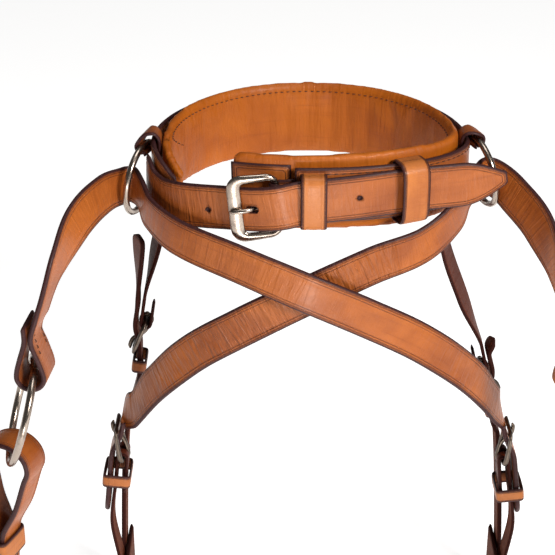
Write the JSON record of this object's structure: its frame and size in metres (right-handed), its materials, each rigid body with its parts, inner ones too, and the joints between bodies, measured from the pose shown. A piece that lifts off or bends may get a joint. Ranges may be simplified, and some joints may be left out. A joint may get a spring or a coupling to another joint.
{
  "type": "cross-under bitless bridle",
  "caption": "Lower half of a cross-under bitless bridle: padded leather noseband with chin buckle, straps crossing beneath the jaw through side rings, rein rings, rein ends and cheek straps.",
  "frame": {"origin": "Centre of the nose opening, at the middle height of the noseband", "axes": "+X to the side that the billet's tip points to, +Y to the front of the nose with the chin buckle at -Y, +Z along the nose towards the muzzle, which is up here"},
  "size_m": [0.3656, 0.1983, 0.3125],
  "materials": {
    "russet_leather": "waxed russet leather with dark burnished edges",
    "lining_leather": "soft ochre lining leather over padding",
    "dark_leather": "dark oiled leather",
    "tan_leather": "light tan keeper leather",
    "nickel": "polished nickel plate"
  },
  "bodies": {
    "bridle": {"cheek_billet_left": "dark_leather", "cheek_billet_right": "dark_leather", "cheek_buckle_left_frame": "nickel", "cheek_buckle_right_frame": "nickel", "cheek_strap_left": "dark_leather", "cheek_strap_right": "dark_leather", "chin_billet": "russet_leather", "chin_buckle_chape": "russet_leather", "chin_buckle_frame": "nickel", "chin_keeper_fixed": "tan_leather", "cross_buckle_left_frame": "nickel", "cross_buckle_right_frame": "nickel", "cross_strap_over": "russet_leather", "cross_strap_under": "russet_leather", "crown_strap_left": "dark_leather", "crown_strap_right": "dark_leather", "headpiece_end_left": "dark_leather", "headpiece_end_right": "dark_leather", "noseband_leather": "russet_leather", "noseband_padding": "lining_leather", "ring_tab_left": "russet_leather", "ring_tab_right": "russet_leather"},
    "chin_buckle_tongue": {"chin_buckle_tongue": "nickel"},
    "cheek_buckle_left_tongue": {"cheek_buckle_left_tongue": "nickel"},
    "cheek_buckle_right_tongue": {"cheek_buckle_right_tongue": "nickel"},
    "cross_buckle_left_tongue": {"cross_buckle_left_tongue": "nickel"},
    "cross_buckle_right_tongue": {"cross_buckle_right_tongue": "nickel"},
    "chin_keeper_running": {"chin_keeper_running": "tan_leather"},
    "cheek_keeper_left": {"cheek_keeper_left": "tan_leather"},
    "cross_keeper_left": {"cross_keeper_left": "tan_leather"},
    "cheek_keeper_right": {"cheek_keeper_right": "tan_leather"},
    "cross_keeper_right": {"cross_keeper_right": "tan_leather"},
    "side_ring_left": {"side_ring_left": "nickel"},
    "rein_ring_left": {"rein_ring_left": "nickel"},
    "rein_end_left": {"rein_end_left": "russet_leather", "rein_keeper_left": "tan_leather"},
    "side_ring_right": {"side_ring_right": "nickel"},
    "rein_ring_right": {"rein_ring_right": "nickel"},
    "rein_end_right": {"rein_end_right": "russet_leather", "rein_keeper_right": "tan_leather"}
  },
  "joints": [
    {"name": "chin_buckle_tongue_hinge", "type": "hinge", "parent": "bridle", "child": "chin_buckle_tongue", "pos_m": [-0.01782, -0.05083, -0.001], "axis": [-0.1049, 0.0012, 0.9945], "range_deg": [0, 5]},
    {"name": "cheek_buckle_left_tongue_hinge", "type": "hinge", "parent": "bridle", "child": "cheek_buckle_left_tongue", "pos_m": [-0.097, 0.016, -0.107], "axis": [-0.0216, 0.9906, -0.1352], "range_deg": [0, 5]},
    {"name": "cheek_buckle_right_tongue_hinge", "type": "hinge", "parent": "bridle", "child": "cheek_buckle_right_tongue", "pos_m": [0.1055, 0.015, -0.138], "axis": [-0.0234, -0.9953, 0.0937], "range_deg": [0, 5]},
    {"name": "cross_buckle_left_tongue_hinge", "type": "hinge", "parent": "bridle", "child": "cross_buckle_left_tongue", "pos_m": [-0.1115, -0.017, -0.181], "axis": [0.013, -0.993, 0.1177], "range_deg": [0, 5]},
    {"name": "cross_buckle_right_tongue_hinge", "type": "hinge", "parent": "bridle", "child": "cross_buckle_right_tongue", "pos_m": [0.1175, -0.017, -0.183], "axis": [0.013, 0.993, -0.1177], "range_deg": [0, 5]},
    {"name": "chin_keeper_slide", "type": "slide", "parent": "bridle", "child": "chin_keeper_running", "axis": [0.9186, 0.3952, 0], "range_m": [-0.003, 0.0015]},
    {"name": "cheek_keeper_left_slide", "type": "slide", "parent": "bridle", "child": "cheek_keeper_left", "axis": [-0.1565, -0.1369, -0.9781], "range_m": [-0.003, 0.003]},
    {"name": "cross_keeper_left_slide", "type": "slide", "parent": "bridle", "child": "cross_keeper_left", "axis": [0.1086, 0.1184, 0.987], "range_m": [-0.003, 0.003]},
    {"name": "cheek_keeper_right_slide", "type": "slide", "parent": "bridle", "child": "cheek_keeper_right", "axis": [0.2414, -0.0966, -0.9656], "range_m": [-0.003, 0.003]},
    {"name": "cross_keeper_right_slide", "type": "slide", "parent": "bridle", "child": "cross_keeper_right", "axis": [-0.1086, 0.1184, 0.987], "range_m": [-0.003, 0.003]},
    {"name": "side_ring_left_swing", "type": "hinge", "parent": "bridle", "child": "side_ring_left", "pos_m": [-0.0955, 0.003, 0.0119], "axis": [-0.33, -0.944, 0], "range_deg": [-3.5, 1.2]},
    {"name": "rein_ring_left_swing", "type": "hinge", "parent": "bridle", "child": "rein_ring_left", "pos_m": [-0.1495, -0.082, -0.082], "axis": [0.1187, -0.9922, -0.0371], "range_deg": [-5, 20]},
    {"name": "rein_end_left_swing", "type": "hinge", "parent": "rein_ring_left", "child": "rein_end_left", "pos_m": [-0.16719, -0.082, -0.1387], "axis": [0.1187, -0.9922, -0.0371], "range_deg": [-10, 10]},
    {"name": "side_ring_right_swing", "type": "hinge", "parent": "bridle", "child": "side_ring_right", "pos_m": [0.096, 0.003, 0.0164], "axis": [0.33, -0.944, 0], "range_deg": [-2.3, 1.2]},
    {"name": "rein_ring_right_swing", "type": "hinge", "parent": "bridle", "child": "rein_ring_right", "pos_m": [0.1425, -0.08, -0.092], "axis": [-0.1187, -0.9922, -0.0371], "range_deg": [-20, 5]},
    {"name": "rein_end_right_swing", "type": "hinge", "parent": "rein_ring_right", "child": "rein_end_right", "pos_m": [0.16019, -0.08, -0.1487], "axis": [-0.1187, -0.9922, -0.0371], "range_deg": [-10, 10]}
  ]
}
